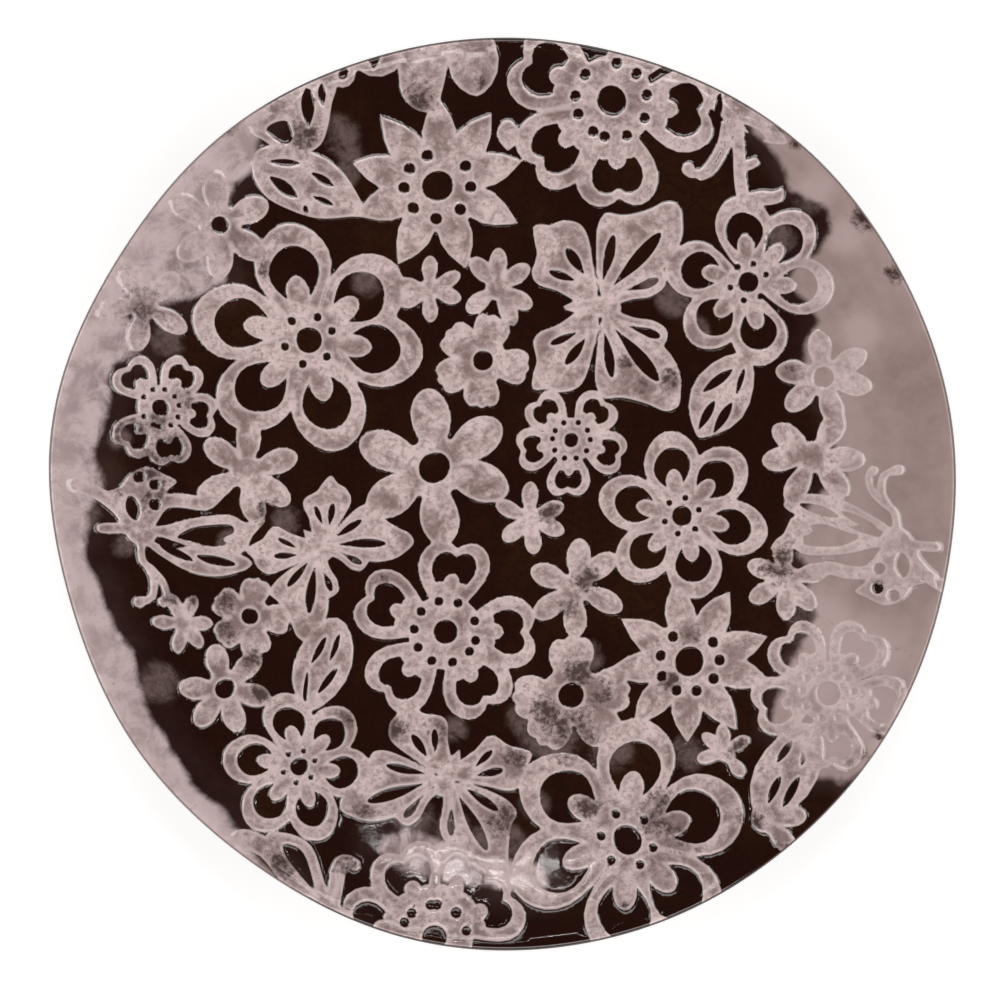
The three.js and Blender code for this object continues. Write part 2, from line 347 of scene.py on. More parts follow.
# the lace as it lies on the platter; drawn() holds the leaves and what the rim cuts off
LACE = [
    at(loop_flower, -75, 57.9, 44, [101, 38, -9, -73, 227, 167], 5),
    at(loop_flower, 92.2, 79.6, 32, [97, 48, 353, 280, 227, 168], 3.8),
    at(loop_flower, 67.2, -9.2, 32.5, [102, 47, -12, -77, 224, 165], 3.9),
    at(loop_flower, -78.2, -103.8, 28.5, [103, 47, -9, -71, 233, 172], 3.4),
    at(loop_flower, 45.6, -131.2, 46, [83, 18, -45, -92, 201, 145], 5.4),
    at(heart_flower, 40, 147, 40, [275, 352, 65, 155, 219], 5.4),
    at(heart_flower, -23, -53.2, 35, [82, 0, -59, 226, 156], 4.5),
    at(heart_flower, 24.8, 19.2, 21, [129, 48, -18, -92, 191], 2.7),
    at(heart_flower, -130.2, 31.2, 21.5, [57, -8, -79, 227, 129], 3.2),
    at(heart_flower, 122, -76, 29, [127, 193, 272, 350, 58], 4.6),
    at(heart_flower, -26.8, -166.8, 36, [113, 27, 170, 65], 4.5),
    at(daisy, -25.4, 115.8, 33.5, [90, 130, 166, 201, 243, -72, -25, 17, 53], 5.8),
    at(daisy, 69.8, -64.6, 31, [100, 148, 185, 227, -92, -55, -12, 19, 59], 5.6),
    at(button_flower, -27, 9.4, 30, [94, 33, -18, -84, 215, 162], 5.8),
    at(button_flower, -107.4, 100.2, 20, [92, 25, -38, 270, 219, 152], 3.2),
    at(button_flower, 120.4, 42.8, 18.5, [100, 35, -11, -75, 221, 169], 4),
    at(button_flower, -105.4, -74.2, 17.5, [108, 45, -15, -73, 231, 177], 3.7),
    at(notched_flower, -8.8, 49.4, 18, [75, 140, 205, 270, 352], 3.9),
    at(notched_flower, 25.4, -77.2, 22, [92, 181, 236, -50, 8], 4.8),
    at(notched_flower, -96.6, -47.8, 14.5, [78, 355, 280, 215, 148], 3.1),
    at(small_flower, -28.4, 77.2, 12.5, [92, 25, -21, 270, 209, 170]),
    at(small_flower, -2.8, 77.2, 15, [90, 36, -25, -65, 217, 134]),
    at(small_flower, 9.6, -9.6, 14, [88, 21, -25, -85, 219, 158]),
    at(small_flower, 27.2, -36.8, 19, [88, 43, -25, -93, 214, 155]),
    at(small_flower, -98, 7.2, 20, [20, -35, -78, 206, 142, 88]),
    at(small_flower, 116.4, 12.8, 19.5, [57, -2, -47, 242, 182, 142]),
    at(small_flower, 106.5, -33, 16, [157, 212, 269, 311, 101, 10]),
    at(small_flower, -122, -49.6, 11.5, [180, 112, 62, 0, -50, 258]),
    at(small_flower, 83, -99, 11, [195, 140, 37, -50, 95]),
    at(small_flower, 97, -123, 16, [-48, 5]),
    at(small_flower, -136, 70, 18, [-30, -102, -174, 114, 42]),
    at(butterfly, 36, 70, 47, 0),
    at(butterfly, -70.5, -21.2, 33, -48, 1.05),
    at(butterfly, -22.3, -109, 40, -112),
    folded_butterfly(-137, -15, 0),
    folded_butterfly(146, -19, 178),
    drawn(
        [blade((73, 20), (91, 52), 11, widest=0.5)],
        slots((75.2, 36.8, 86.4, 46.4, 3.6), (88, 36.4, 90.8, 47.2, 2),
              (73.2, 22.8, 80, 34, 3.2), (78.8, 21.6, 86.4, 33.6, 3.4)),
    ),
    drawn(
        [blade((-75.5, -83), (-63.5, -48), 11, widest=0.5)],
        slots((-74, -64.8, -68.4, -54.8, 2.6), (-66.8, -64, -63.2, -54, 2.4),
              (-75.2, -67.2, -76, -81.2, 1.8), (-71.2, -76.4, -63.6, -66.4, 2.8)),
    ),
    drawn(
        [blade((95, -124), (116, -88), 11.5, widest=0.5)],
        slots((101.5, -102.5, 107.5, -94, 2.8), (110.8, -104, 113.4, -95, 2.5),
              (98.8, -117.5, 103.4, -107, 3), (104, -119.5, 110.4, -107.5, 3.2)),
    ),
    drawn(
        [smooth_ring([(-95, 124), (-92, 129), (-84, 130), (-76, 129), (-68, 126), (-61, 120), (-56, 113),
                      (-53, 105), (-60, 103.5), (-72, 103.5), (-82, 106.5), (-89, 110), (-94, 117)], 3)],
        slots((-89.3, 124, -77.6, 124, 2.6), (-88.6, 118.4, -78.4, 111.2, 4.8),
              (-73.4, 120.8, -64.6, 115.4, 3), (-72.6, 111.8, -65, 108.2, 2.4),
              (-75.9, 108.4, -75.1, 105.2, 2.2)),
    ),
    drawn([blade((-14, 179), (-10.5, 148.5), 9.5, widest=0.6, foot=0.5, tip=0.6)]),
    drawn([smooth_ring([(-40, 166), (-39, 152), (-36, 146), (-31, 143.5), (-26, 145), (-23.5, 151),
                        (-22, 158), (-21.5, 170), (-30, 178), (-40, 175)], 3)]),
    drawn([disc((-48, 166), 11)], slots((-49, 158, -49, 166, 5))),
    drawn([blade((0.8, 129), (0.8, 140.5), 4.4, widest=0.55)]),
    drawn(
        [smooth_ring([(-96, 137), (-90, 131), (-83, 129), (-76, 128), (-70, 131), (-67, 138), (-65, 146),
                      (-63, 152), (-66, 160), (-72, 166), (-88, 150)], 3)],
        [*slots((-74.6, 137.4, -73.8, 152, 5), (-68.6, 145, -68.6, 153, 3)),
         smooth_ring([(-90, 135.5), (-86.5, 138.5), (-82, 139), (-80.5, 133.5), (-82.5, 131),
                      (-86, 132)], 3)],
    ),
    drawn([disc((-60.6, 156.2), 5, 12)], [disc((-60.6, 156.2), 2, 10)]),
    drawn(
        [*band([(-99, -130), (-90, -134), (-82, -143), (-72, -153), (-61, -161)], 3.4),
         *band([(-88, -130), (-81, -130.5), (-75, -134), (-71, -143), (-67, -155)], 1.9),
         *band([(-86, -132), (-84.5, -139), (-78, -147)], 1.7),
         *band([(-67, -156), (-64.8, -148), (-64.6, -142), (-62.4, -138.2), (-58.5, -138.5)], 1.5),
         *band([(-63, -155), (-61.6, -147), (-61.2, -141)], 1.2), disc((-56.6, -140.6), 2.3, 10)],
    ),
    drawn(
        [*band([(82.5, 138), (81, 130.5), (78, 124), (74.5, 120), (70.5, 119.5)], 1.5),
         disc((69.2, 121.6), 2.5, 10),
         *band([(84.5, 138), (83.5, 131), (81, 125), (78, 120), (74.5, 118.2)], 1.3),
         *band([(86, 139), (87.5, 130), (88.5, 120), (90, 111)], 2.2),
         blade((88, 121), (95, 125), 2, tip=0.2),
         smooth_ring([(90, 111), (96, 113.5), (101, 113), (104.5, 114), (104, 109), (97, 108)], 3),
         smooth_ring([(72, 154), (78, 143), (84, 139), (92, 134), (98, 131), (105, 131), (97, 141),
                      (84, 152)], 3)],
        slots((80.4, 151, 80, 140, 3), (89, 138, 97, 132.4, 2.6)),
    ),
]


def ring_distance(points, ring):
    """Distance from each point to a closed ring, negative inside it."""
    best = np.full(len(points), np.inf)
    inside = np.zeros(len(points), bool)
    for (ax, ay), (bx, by) in zip(ring, np.roll(ring, -1, 0)):
        ex, ey = bx - ax, by - ay
        px, py = points[:, 0] - ax, points[:, 1] - ay
        t = np.clip((px * ex + py * ey) / max(ex * ex + ey * ey, 1e-9), 0, 1)
        best = np.minimum(best, (px - ex * t) ** 2 + (py - ey * t) ** 2)
        crosses = (points[:, 1] < ay) != (points[:, 1] < by)
        inside ^= crosses & (px < ex * py / (ey or 1e-9))
    return np.where(inside, -1, 1) * np.sqrt(best)


def blended_min(a, b, blend):
    """The smaller of two distances, rounded over where they are alike."""
    overlap = np.maximum(blend - np.abs(a - b), 0) / blend
    return np.minimum(a, b) - overlap**2 * blend / 4


def layer_distance(points, rings, blend):
    found = np.full(len(points), FAR)
    for ring in rings:
        centre = (ring.max(0) + ring.min(0)) / 2
        radius = np.hypot(*(ring - centre).T).max() + FAR
        near = np.flatnonzero(np.hypot(*(points - centre).T) < radius)
        if len(near):
            found[near] = blended_min(found[near], ring_distance(points[near], ring), blend)
    return found


def lace_distance(points):
    """Distance to the edge of the pressed lace, negative inside it."""
    x, y = points[:, 0], points[:, 1]
    # the lace lay a little unevenly on the clay
    drift_x = 0.35 * np.sin(y / 6.1 + 1.7) + 0.25 * np.sin(x / 9.7)
    drift_y = 0.35 * np.sin(x / 6.7) + 0.25 * np.sin(y / 11.3 + 2)
    drifted = points + np.stack([drift_x, drift_y], 1)
    found = np.full(len(points), FAR)
    for layers in LACE:
        rings = np.vstack(layers[0])
        centre = (rings.max(0) + rings.min(0)) / 2
        radius = np.hypot(*(rings - centre).T).max() + FAR
        near = np.flatnonzero(np.hypot(*(drifted - centre).T) < radius)
        if not len(near):
            continue
        here = drifted[near]
        motif = layer_distance(here, layers[0], 1.6)
        for i, rings in enumerate(layers[1:]):
            shapes = layer_distance(here, rings, 0.8)
            motif = blended_min(motif, shapes, 0.6) if i % 2 else -blended_min(-motif, shapes, 0.5)
        found[near] = blended_min(found[near], motif, 1.2)
    return found


# Where the glaze was poured, smeared or wiped, in millimetres on the platter

# outlines of the thick white on the left, the white low on the rim and the thin wash on the right
LEFT_POUR = (
    (-89, 146), (-90, 138), (-92, 131), (-93, 124), (-97, 119), (-101, 116), (-104, 111), (-104, 100),
    (-105, 90), (-106, 80), (-112, 76), (-120, 72), (-131, 69), (-136, 62), (-138, 52), (-147, 48),
    (-148, 42), (-149, 30), (-153, 20), (-154, 13), (-151, 5), (-151, 0), (-157, -7), (-156, -14),
    (-158, -24), (-153, -34), (-148, -50), (-140, -59), (-137, -73), (-129, -89), (-120, -104),
    (-111, -116), (-106, -118), (-102, -125), (-90, -139), (-75, -151), (-56, -164), (-90, -190),
    (-200, -120), (-220, 40), (-160, 170), (-100, 190),
)
LOW_POUR = (
    (-45, -129), (-36, -127), (-28, -130), (-20, -134), (-8, -138), (4, -140), (14, -142), (15, -148),
    (8, -150), (-6, -149), (-20, -148), (-34, -145), (-45, -141), (-49, -135),
)
RIGHT_WASH = (
    (90, 143), (93, 134), (100, 127), (105, 120), (106, 113), (113, 109), (119, 106), (121, 98),
    (117, 91), (109, 86), (104, 79), (112, 72), (117, 64), (112, 56), (113, 44), (124, 30), (124, 20),
    (128, 6), (119, 0), (114, -7), (112, -14), (111, -24), (116, -32), (113, -39), (117, -47),
    (112, -58), (102, -80), (100, -90), (117, -107), (126, -109), (134, -105), (150, -112),
    (200, -120), (230, 0), (170, 140), (110, 180),
)
# x, y, radius of brown showing through the white
BARE_SPOTS = (
    (-137, 68, 9), (-142, 20, 10), (-136, 9, 11), (-125, 15, 10), (-131, 26, 6), (-133, -2, 8),
    (-122, 35, 6), (-76, 134, 7), (-104, 138, 6), (-32, 148, 7), (-8.5, 154, 4), (104, -27, 8),
    (-126, -39, 5), (-117, -40, 5), (-106, -41, 6), (-106, -52, 6), (-97, -64, 5), (-93, -76, 5),
    (-60, -86, 6), (-44, -90, 7), (-54, -121, 6), (-2, -124, 9), (3, -102, 7), (26, -92, 12),
    (28, -70, 8), (36, -78, 8), (16, -84, 8), (44, -157, 4), (92, -124, 6), (103, -134, 5),
    (89, -97, 5), (63, 42, 5), (108, 46, 4), (58, -122, 9), (66, -128, 9), (32, -118, 6),
    (-46, -34, 4), (70, -54, 5), (62, -72, 5), (140.3, -35.2, 3.2), (-90, -8, 6), (-148, 5, 6),
    (-23, -92, 7), (133, 104, 4), (147, 84, 5), (135, 100, 5), (103, 136, 4), (109, 131, 4),
    (86, 152, 5), (-107.4, 100.2, 4), (140, -90, 3), (134.5, -98.5, 3), (129, -101, 2.5),
    (-60, -139, 6), (-84, -140, 8), (18, -8, 5), (-6, -9, 4), (4, 62, 4), (31, -33, 6), (24, -44, 5),
    (52, 40, 5), (46, 48, 4), (-90, 84, 4),
)
# x, y, radius of pale glaze smeared on the brown
SMEARS = (
    (-83, -11, 6), (64, 73, 7), (56, 79, 5), (69, -99, 7), (11, -118, 6), (-52.5, 79, 6),
    (-145, 19, 5), (-143.6, -20, 5), (-34, -137, 6), (104, 96, 6), (-130, -72, 9), (20, -95, 10),
    (8, -86, 8), (-8, -134, 8), (32, -62, 6), (14, -92, 9), (40, -98, 9), (-20, -90, 6), (74, 62, 5),
    (-60, 120, 5), (-104, -20, 6), (-112, 88, 7), (-127, 58, 7), (-62, 134, 8), (-34, -124, 8),
    (-20, -127, 7), (2, -132, 6), (-58, 128, 6), (134, -62, 18), (138, -84, 17), (125, -92, 12),
    (121, -50, 13), (116, -72, 13), (116, 112, 8), (128, 96, 8), (134, 60, 8), (-160, -10, 8),
)
# x, y, radius of holes that the poured white has left open
OPEN_HOLES = ((-107.4, 100.6, 4.6), (139.8, -35.8, 2.8), (-136.8, 68.2, 3.2))
HOLE_EDGE = 3  # how sharply the white ends at them


def kept_open(points, pour):
    """Takes the poured white off the open holes."""
    for x, y, radius in OPEN_HOLES:
        away = np.hypot(points[:, 0] - x, points[:, 1] - y)
        pour = np.minimum(pour, HOLE_EDGE * (away - radius))
    return pour


def poured_depths(points):
    """How far inside the pours and inside the wash the points lie, in millimetres."""
    outlines = (np.array(ring, float) for ring in (LEFT_POUR, LOW_POUR, RIGHT_WASH))
    left, low, wash = (-ring_distance(points, outline) for outline in outlines)
    return kept_open(points, np.maximum(left, low)), kept_open(points, wash)


def spots(points, places):
    """1 in the middle of each spot, falling to 0 a little outside its radius."""
    amount = np.zeros(len(points))
    for x, y, radius in places:
        away = np.hypot(points[:, 0] - x, points[:, 1] - y)
        amount = np.maximum(amount, np.clip(1.4 - away / radius, 0, 1))
    return amount


# The surface


def plan_of(bm):
    return np.array([v.co[:2] for v in bm.verts])


def place(bm, plan, height=None):
    for i, vert in enumerate(bm.verts):
        vert.co = (plan[i, 0], plan[i, 1], 0 if height is None else height[i])


def hexagon_to_round(plan, corner):
    """Turns a six-sided lattice into even rings inside the lip."""
    angle = np.degrees(np.arctan2(plan[:, 1], plan[:, 0])) - corner
    sector = np.floor(angle / 60 + 1e-6)
    lean = np.radians(angle - 60 * sector - 30)
    share = np.hypot(*plan.T) * np.cos(lean) / math.cos(math.radians(30))
    along = 0.5 + np.tan(lean) / (2 * math.tan(math.radians(30)))
    turn = np.radians(60 * (sector + along) + corner)
    radius = share * CROWN_RADIUS
    radius = radius + reach(radius) * wander(turn)
    return np.stack([radius * np.cos(turn), radius * np.sin(turn)], 1)


def refine(bm, near, cut_length):
    """Cuts the edges that lie near the lace's own edges."""
    distance = np.abs(lace_distance(plan_of(bm)))
    bm.verts.index_update()
    chosen = [
        e
        for e in bm.edges
        if min(distance[e.verts[0].index], distance[e.verts[1].index]) < near
        and not e.is_boundary
        and e.calc_length() > cut_length
    ]
    bmesh.ops.subdivide_edges(bm, edges=chosen, cuts=1, use_grid_fill=True)
    bmesh.ops.triangulate(bm, faces=[f for f in bm.faces if len(f.verts) > 3])


def drawn_to_edges(plan):
    """Moves the points beside each lace edge on to the top and the foot of its little wall."""
    step = 0.05
    distance = lace_distance(plan)
    slope = np.stack(
        [
            lace_distance(plan + (step, 0)) - lace_distance(plan - (step, 0)),
            lace_distance(plan + (0, step)) - lace_distance(plan - (0, step)),
        ],
        1,
    ) / (2 * step)
    steep = np.maximum(np.hypot(*slope.T), 0.3)
    beside = (np.abs(distance) < SNAP_REACH) & (np.hypot(*plan.T) < CROWN_RADIUS - 2.5)
    wanted = np.where(distance > 0, SNAP_OFFSET, -SNAP_OFFSET)
    move = np.where(beside, (wanted - distance) * 0.7, 0)
    return plan + slope * (move / steep**2)[:, None]


def relief(distance, plan):
    """Height of the glazed surface above or below the slab's own top."""
    share = np.clip(0.5 - distance / WALL_WIDTH, 0, 1)
    wall = share * share * (3 - 2 * share)
    sunk = -LACE_DEPTH * wall
    pooled = EDGE_ROUNDING * wall * np.exp(np.minimum(distance, 0) / 0.9)
    worn = -EDGE_ROUNDING * (1 - wall) * np.exp(-np.maximum(distance, 0) / 0.8)
    x, y = plan.T
    # the hand-rolled slab is a little uneven
    uneven = 0.10 * np.sin(x / 13.1 + 0.6 * np.sin(y / 17)) * np.cos(y / 11.7 + 1.1)
    uneven = uneven + 0.05 * np.sin(x / 5.3 + y / 7.9)
    return sunk + pooled + worn + uneven


def set_ring(verts, radius, height):
    for vert in verts:
        angle = math.atan2(vert.co.y, vert.co.x)
        out = radius + float(reach(radius) * wander(angle))
        vert.co = (out * math.cos(angle), out * math.sin(angle), height)


def under_section():
    """Radius and height down the lip's outside, along the underside and on to the foot."""
    rows = []
    for turn in (72, 52, 30, 8, -14, -34, -54):
        x, z = polar(LIP_RADIUS, turn)
        rows.append((CROWN_RADIUS + x, PLATTER_HEIGHT - LIP_RADIUS + z))
    for share in (0.92, 0.8, 0.66, 0.5, 0.34, 0.18, 0.07):
        radius = WELL_RADIUS + share * (CROWN_RADIUS - WELL_RADIUS)
        outside = FOOT_RADIUS + share * (CROWN_RADIUS - FOOT_RADIUS)
        rows.append((outside, float(top_height(radius)) - SLAB_THICKNESS + 0.25))
    return rows + [(FOOT_RADIUS, 0.2), (FOOT_RADIUS - 1, 0.0), (FOOT_RADIUS - 5, 0.0), (60, 0.0), (20, 0.0)]


def platter_mesh():
    bm = bmesh.new()
    bmesh.ops.create_circle(bm, cap_ends=True, cap_tris=True, segments=6, radius=1)
    rim = max(bm.verts, key=lambda v: v.co.length)
    corner = math.degrees(math.atan2(rim.co.y, rim.co.x)) % 60
    cuts = round(PLATTER_RADIUS / COARSE_EDGE) - 1
    bmesh.ops.subdivide_edges(bm, edges=bm.edges[:], cuts=cuts, use_grid_fill=True)
    bmesh.ops.triangulate(bm, faces=[f for f in bm.faces if len(f.verts) > 3])
    bmesh.ops.remove_doubles(bm, verts=bm.verts[:], dist=1e-5)
    place(bm, hexagon_to_round(plan_of(bm), corner))
    for near, cut_length in REFINE_STEPS:
        refine(bm, near, cut_length)
    plan = drawn_to_edges(plan_of(bm))
    distance = lace_distance(plan)
    radius, angle = np.hypot(*plan.T), np.arctan2(plan[:, 1], plan[:, 0])
    even = round_radius(radius, angle)
    fade = np.clip((CROWN_RADIUS - even) / LACE_FADE, 0, 1)
    # poured glaze fills the hollows in part
    unfilled = 1 - FILLED_SHARE * np.clip(np.maximum(*poured_depths(plan)) / FILLED_FROM, 0, 1)
    place(bm, plan, top_height(even) + fade * unfilled * relief(distance, plan))
    edge = [e for e in bm.edges if e.is_boundary]
    for ring_radius, height in under_section():
        made = bmesh.ops.extrude_edge_only(bm, edges=edge)["geom"]
        edge = [g for g in made if isinstance(g, bmesh.types.BMEdge)]
        set_ring([g for g in made if isinstance(g, bmesh.types.BMVert)], ring_radius, height)
    cap = bmesh.ops.contextual_create(bm, geom=edge)["faces"]
    bmesh.ops.poke(bm, faces=cap)
    bmesh.ops.recalc_face_normals(bm, faces=bm.faces[:])
    return bm


def fit_to_solid(low, high):
    """The scale that keeps the smooth edge inside the solid's own box."""
    node_low, node_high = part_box("platter")[:2]
    return min((node_high[i] - node_low[i]) / ((high[i] - low[i]) * MM) for i in (0, 1)) * BOX_SHARE


def store(mesh, name, values):
    layer = mesh.attributes.new(name, "FLOAT", "POINT")
    layer.data.foreach_set("value", np.asarray(values, np.float32))


def build_platter():
    bm = platter_mesh()
    mesh = bpy.data.meshes.new("lace_platter")
    bm.to_mesh(mesh)
    bm.free()
    corners = np.empty(len(mesh.vertices) * 3)
    mesh.vertices.foreach_get("co", corners)
    corners = corners.reshape(-1, 3)
    plan = corners[:, :2]
    radius, angle = np.hypot(*plan.T), np.arctan2(plan[:, 1], plan[:, 0])
    even = round_radius(radius, angle)
    top = corners[:, 2] > top_height(np.minimum(even, PLATTER_RADIUS)) - 2.5
    store(mesh, "press", np.where(top, lace_distance(plan), FAR))
    for name, depths in zip(("pour", "wash"), poured_depths(plan)):
        store(mesh, name, np.where(top, depths, UNPOURED))
    store(mesh, "bare", np.where(top, spots(plan, BARE_SPOTS), 0))
    store(mesh, "smear", np.where(top, spots(plan, SMEARS), 0))
    store(mesh, "rim", even / PLATTER_RADIUS)
    placed = corners.copy()
    placed[:, :2] -= MIDDLE
    placed[:, :2] *= min(fit_to_solid(placed.min(0), placed.max(0)), 1.0)
    placed[:, 2] = np.minimum(placed[:, 2], PLATTER_HEIGHT)
    mesh.vertices.foreach_set("co", (placed * MM).ravel())
    mesh.polygons.foreach_set("use_smooth", [True] * len(mesh.polygons))
    mesh.update()
    return mesh


# Materials


class Board:
    """A node tree with short ways to add and join nodes."""

    def __init__(self, tree):
        self.tree = tree

    def add(self, kind, values=(), **settings):
        node = self.tree.nodes.new(kind)
        for name, value in settings.items():
            setattr(node, name, value)
        for socket, value in dict(values).items():
            self.give(node.inputs[socket], value)
        return node

    def give(self, socket, value):
        if isinstance(value, bpy.types.NodeSocket):
            self.tree.links.new(value, socket)
        else:
            socket.default_value = value

    def math(self, operation, *values):
        node = self.add("ShaderNodeMath", operation=operation)
        for socket, value in zip(node.inputs, values):
            self.give(socket, value)
        return node.outputs[0]

    def ramp(self, value, low, high, start=0.0, end=1.0):
        node = self.add("ShaderNodeMapRange", {0: value, 1: low, 2: high, 3: start, 4: end})
        node.interpolation_type = "SMOOTHSTEP"
        return node.outputs[0]

    def mix(self, share, first, second):
        node = self.add("ShaderNodeMix", data_type="RGBA")
        for socket, value in ((node.inputs[0], share), (node.inputs[6], first), (node.inputs[7], second)):
            self.give(socket, value)
        return node.outputs[2]

    def blend(self, share, first, second):
        node = self.add("ShaderNodeMix", data_type="FLOAT")
        for socket, value in ((node.inputs[0], share), (node.inputs[2], first), (node.inputs[3], second)):
            self.give(socket, value)
        return node.outputs[0]

    def noise(self, place, scale, detail=4.0, roughness=0.6, distortion=0.0):
        values = {"Vector": place, "Scale": scale, "Detail": detail}
        values |= {"Roughness": roughness, "Distortion": distortion}
        return self.add("ShaderNodeTexNoise", values).outputs[0]

    def attribute(self, name):
        return self.add("ShaderNodeAttribute", attribute_name=name).outputs["Fac"]


def colour(red, green, blue):
    """A colour from its values as a screen shows them, 0 to 255."""
    channels = [c / 255 for c in (red, green, blue)]
    return (*[c / 12.92 if c <= 0.04045 else ((c + 0.055) / 1.055) ** 2.4 for c in channels], 1.0)


def mottling_group():
    """Cloudy glaze: a coarse and a fine pattern, and ragged spots where an amount is high."""
    tree = bpy.data.node_groups.new("Cloudy glaze", "ShaderNodeTree")
    face = tree.interface
    face.new_socket("Place", in_out="INPUT", socket_type="NodeSocketVector")
    face.new_socket("Amount", in_out="INPUT", socket_type="NodeSocketFloat")
    face.new_socket("Cloud", in_out="OUTPUT", socket_type="NodeSocketFloat")
    face.new_socket("Grain", in_out="OUTPUT", socket_type="NodeSocketFloat")
    face.new_socket("Spots", in_out="OUTPUT", socket_type="NodeSocketFloat")
    board = Board(tree)
    given = board.add("NodeGroupInput")
    out = board.add("NodeGroupOutput")
    cloud = board.noise(given.outputs[0], 95, 5, 0.68, 0.4)
    grain = board.noise(given.outputs[0], 520, 4, 0.7)
    ragged = board.math("ADD", board.math("MULTIPLY", cloud, 0.9), board.math("MULTIPLY", grain, 0.5))
    ragged = board.math("ADD", ragged, board.math("MULTIPLY", given.outputs[1], 0.33))
    masks = (board.ramp(cloud, 0.3, 0.7), board.ramp(grain, 0.3, 0.72), board.ramp(ragged, 0.82, 1.1))
    for socket, value in zip(out.inputs, masks):
        board.give(socket, value)
    return tree


